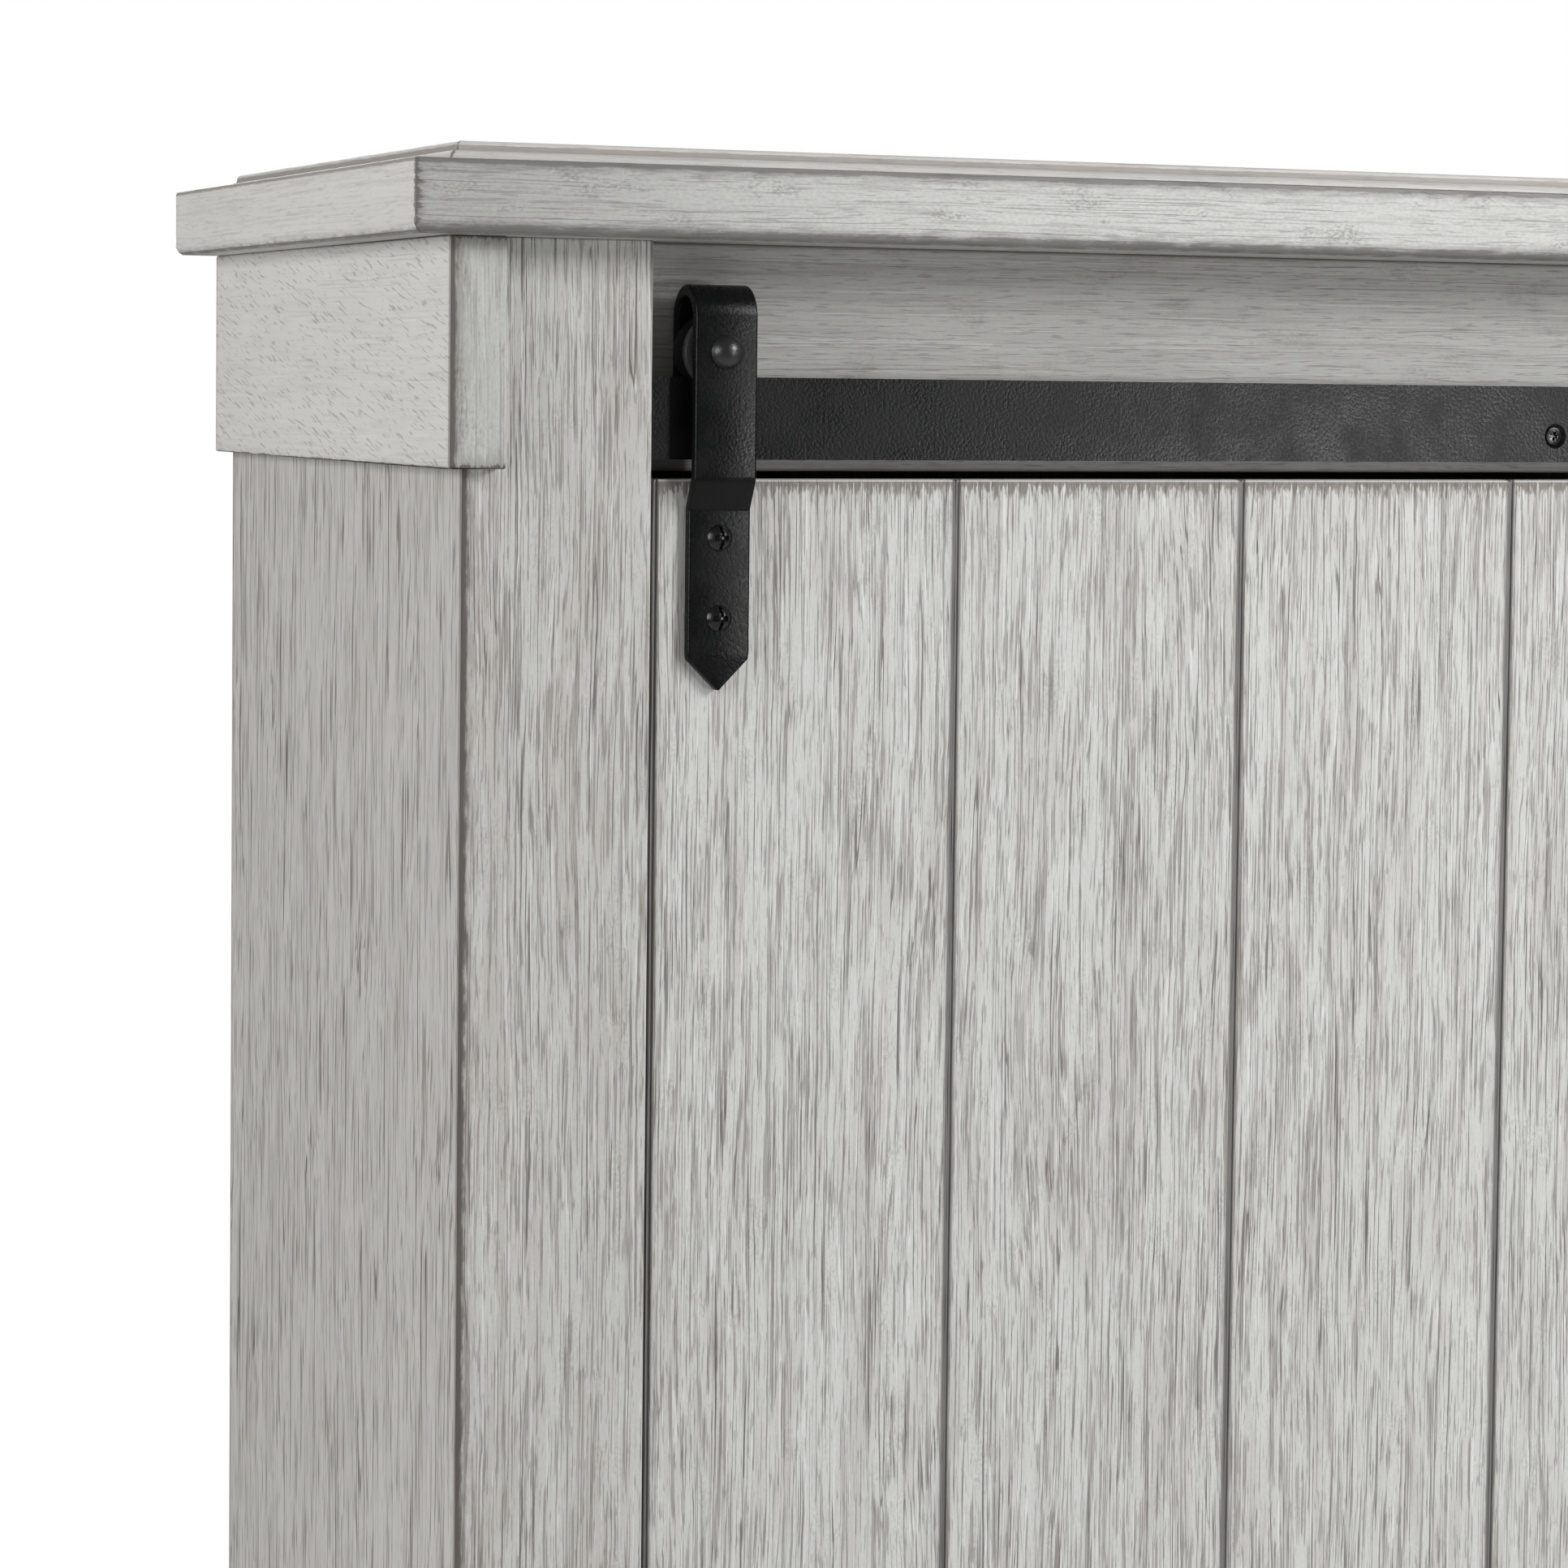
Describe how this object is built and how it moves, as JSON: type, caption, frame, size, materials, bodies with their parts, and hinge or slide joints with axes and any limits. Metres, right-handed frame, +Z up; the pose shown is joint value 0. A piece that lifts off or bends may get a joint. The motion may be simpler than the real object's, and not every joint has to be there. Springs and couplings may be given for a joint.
{
  "type": "sliding door wardrobe",
  "caption": "Whitewashed plank wardrobe with an inset barn-style door that slides on strap hangers and a flat black bar, a hanging bay and open shelves.",
  "frame": {"origin": "middle of the footprint's bounding box, on the floor", "axes": "+X to the right along the front, +Y from the door to the wall, +Z up"},
  "size_m": [1.282, 0.441, 1.83],
  "materials": {
    "front_boards": "whitewashed, wire-brushed, satin",
    "door_boards": "whitewashed, wire-brushed, satin",
    "side_boards": "whitewashed, smooth satin",
    "top_boards": "whitewashed with dark glazed edges, satin",
    "inner_boards": "grey wash, plain",
    "black_iron": "matte black powder coat, fine orange peel",
    "black_screws": "satin black",
    "rod_metal": "satin",
    "soft_black": "matte",
    "guide_plastic": "matte black"
  },
  "bodies": {
    "case": {"left_side_panel": "side_boards", "right_side_panel": "side_boards", "left_stile": "front_boards", "right_stile": "front_boards", "frieze_rail": "front_boards", "bottom_rail": "front_boards", "top_slab": "top_boards", "top_board": "top_boards", "left_cap_board": "side_boards", "right_cap_board": "side_boards", "left_cap_block": "front_boards", "right_cap_block": "front_boards", "centre_partition": "inner_boards", "bottom_board": "inner_boards", "back_panel": "inner_boards", "back_top_rail": "inner_boards", "back_bottom_rail": "inner_boards", "foot_blocks": "inner_boards", "levelling_feet": "soft_black", "glue_blocks": "inner_boards", "hat_shelf": "inner_boards", "hat_shelf_cleats": "inner_boards", "hanging_rod": "rod_metal", "rod_sockets": "black_screws", "rod_socket_screws": "black_screws", "shelf_1": "inner_boards", "shelf_2": "inner_boards", "shelf_3": "inner_boards", "shelf_4": "inner_boards", "shelf_pins": "rod_metal", "track_rail": "black_iron", "track_spacers": "black_iron", "track_screws": "black_screws", "door_bumpers": "soft_black", "floor_guide": "guide_plastic", "floor_guide_screws": "black_screws"},
    "door": {"door_plank_1": "door_boards", "door_plank_2": "door_boards", "door_plank_3": "door_boards", "door_plank_4": "door_boards", "top_ledge": "door_boards", "middle_ledge": "door_boards", "bottom_ledge": "door_boards", "ledge_screws": "black_screws", "left_hanger_strap": "black_iron", "right_hanger_strap": "black_iron", "left_axle_bolt": "black_iron", "right_axle_bolt": "black_iron", "axle_washers": "soft_black", "hanger_screws": "black_screws", "door_pull": "black_iron", "pull_posts": "black_iron", "pull_screws": "black_screws"},
    "left_roller": {"left_roller": "black_iron", "left_roller_bush": "rod_metal"},
    "right_roller": {"right_roller": "black_iron", "right_roller_bush": "rod_metal"}
  },
  "joints": [
    {"name": "door_slide", "type": "slide", "parent": "case", "child": "door", "axis": [1, 0, 0], "range_m": [0, 0.375]},
    {"name": "left_roller_spin", "type": "hinge", "parent": "door", "child": "left_roller", "pos_m": [-0.4775, -0.1858, 1.7315], "axis": [0, 1, 0], "range_deg": [-5, 1800]},
    {"name": "right_roller_spin", "type": "hinge", "parent": "door", "child": "right_roller", "pos_m": [0.1025, -0.1858, 1.7315], "axis": [0, 1, 0], "range_deg": [-5, 1800]}
  ],
  "couplings": [
    {"joint": "left_roller_spin", "follows": "door_slide", "rad_per_m": 83.333},
    {"joint": "right_roller_spin", "follows": "door_slide", "rad_per_m": 83.333}
  ]
}
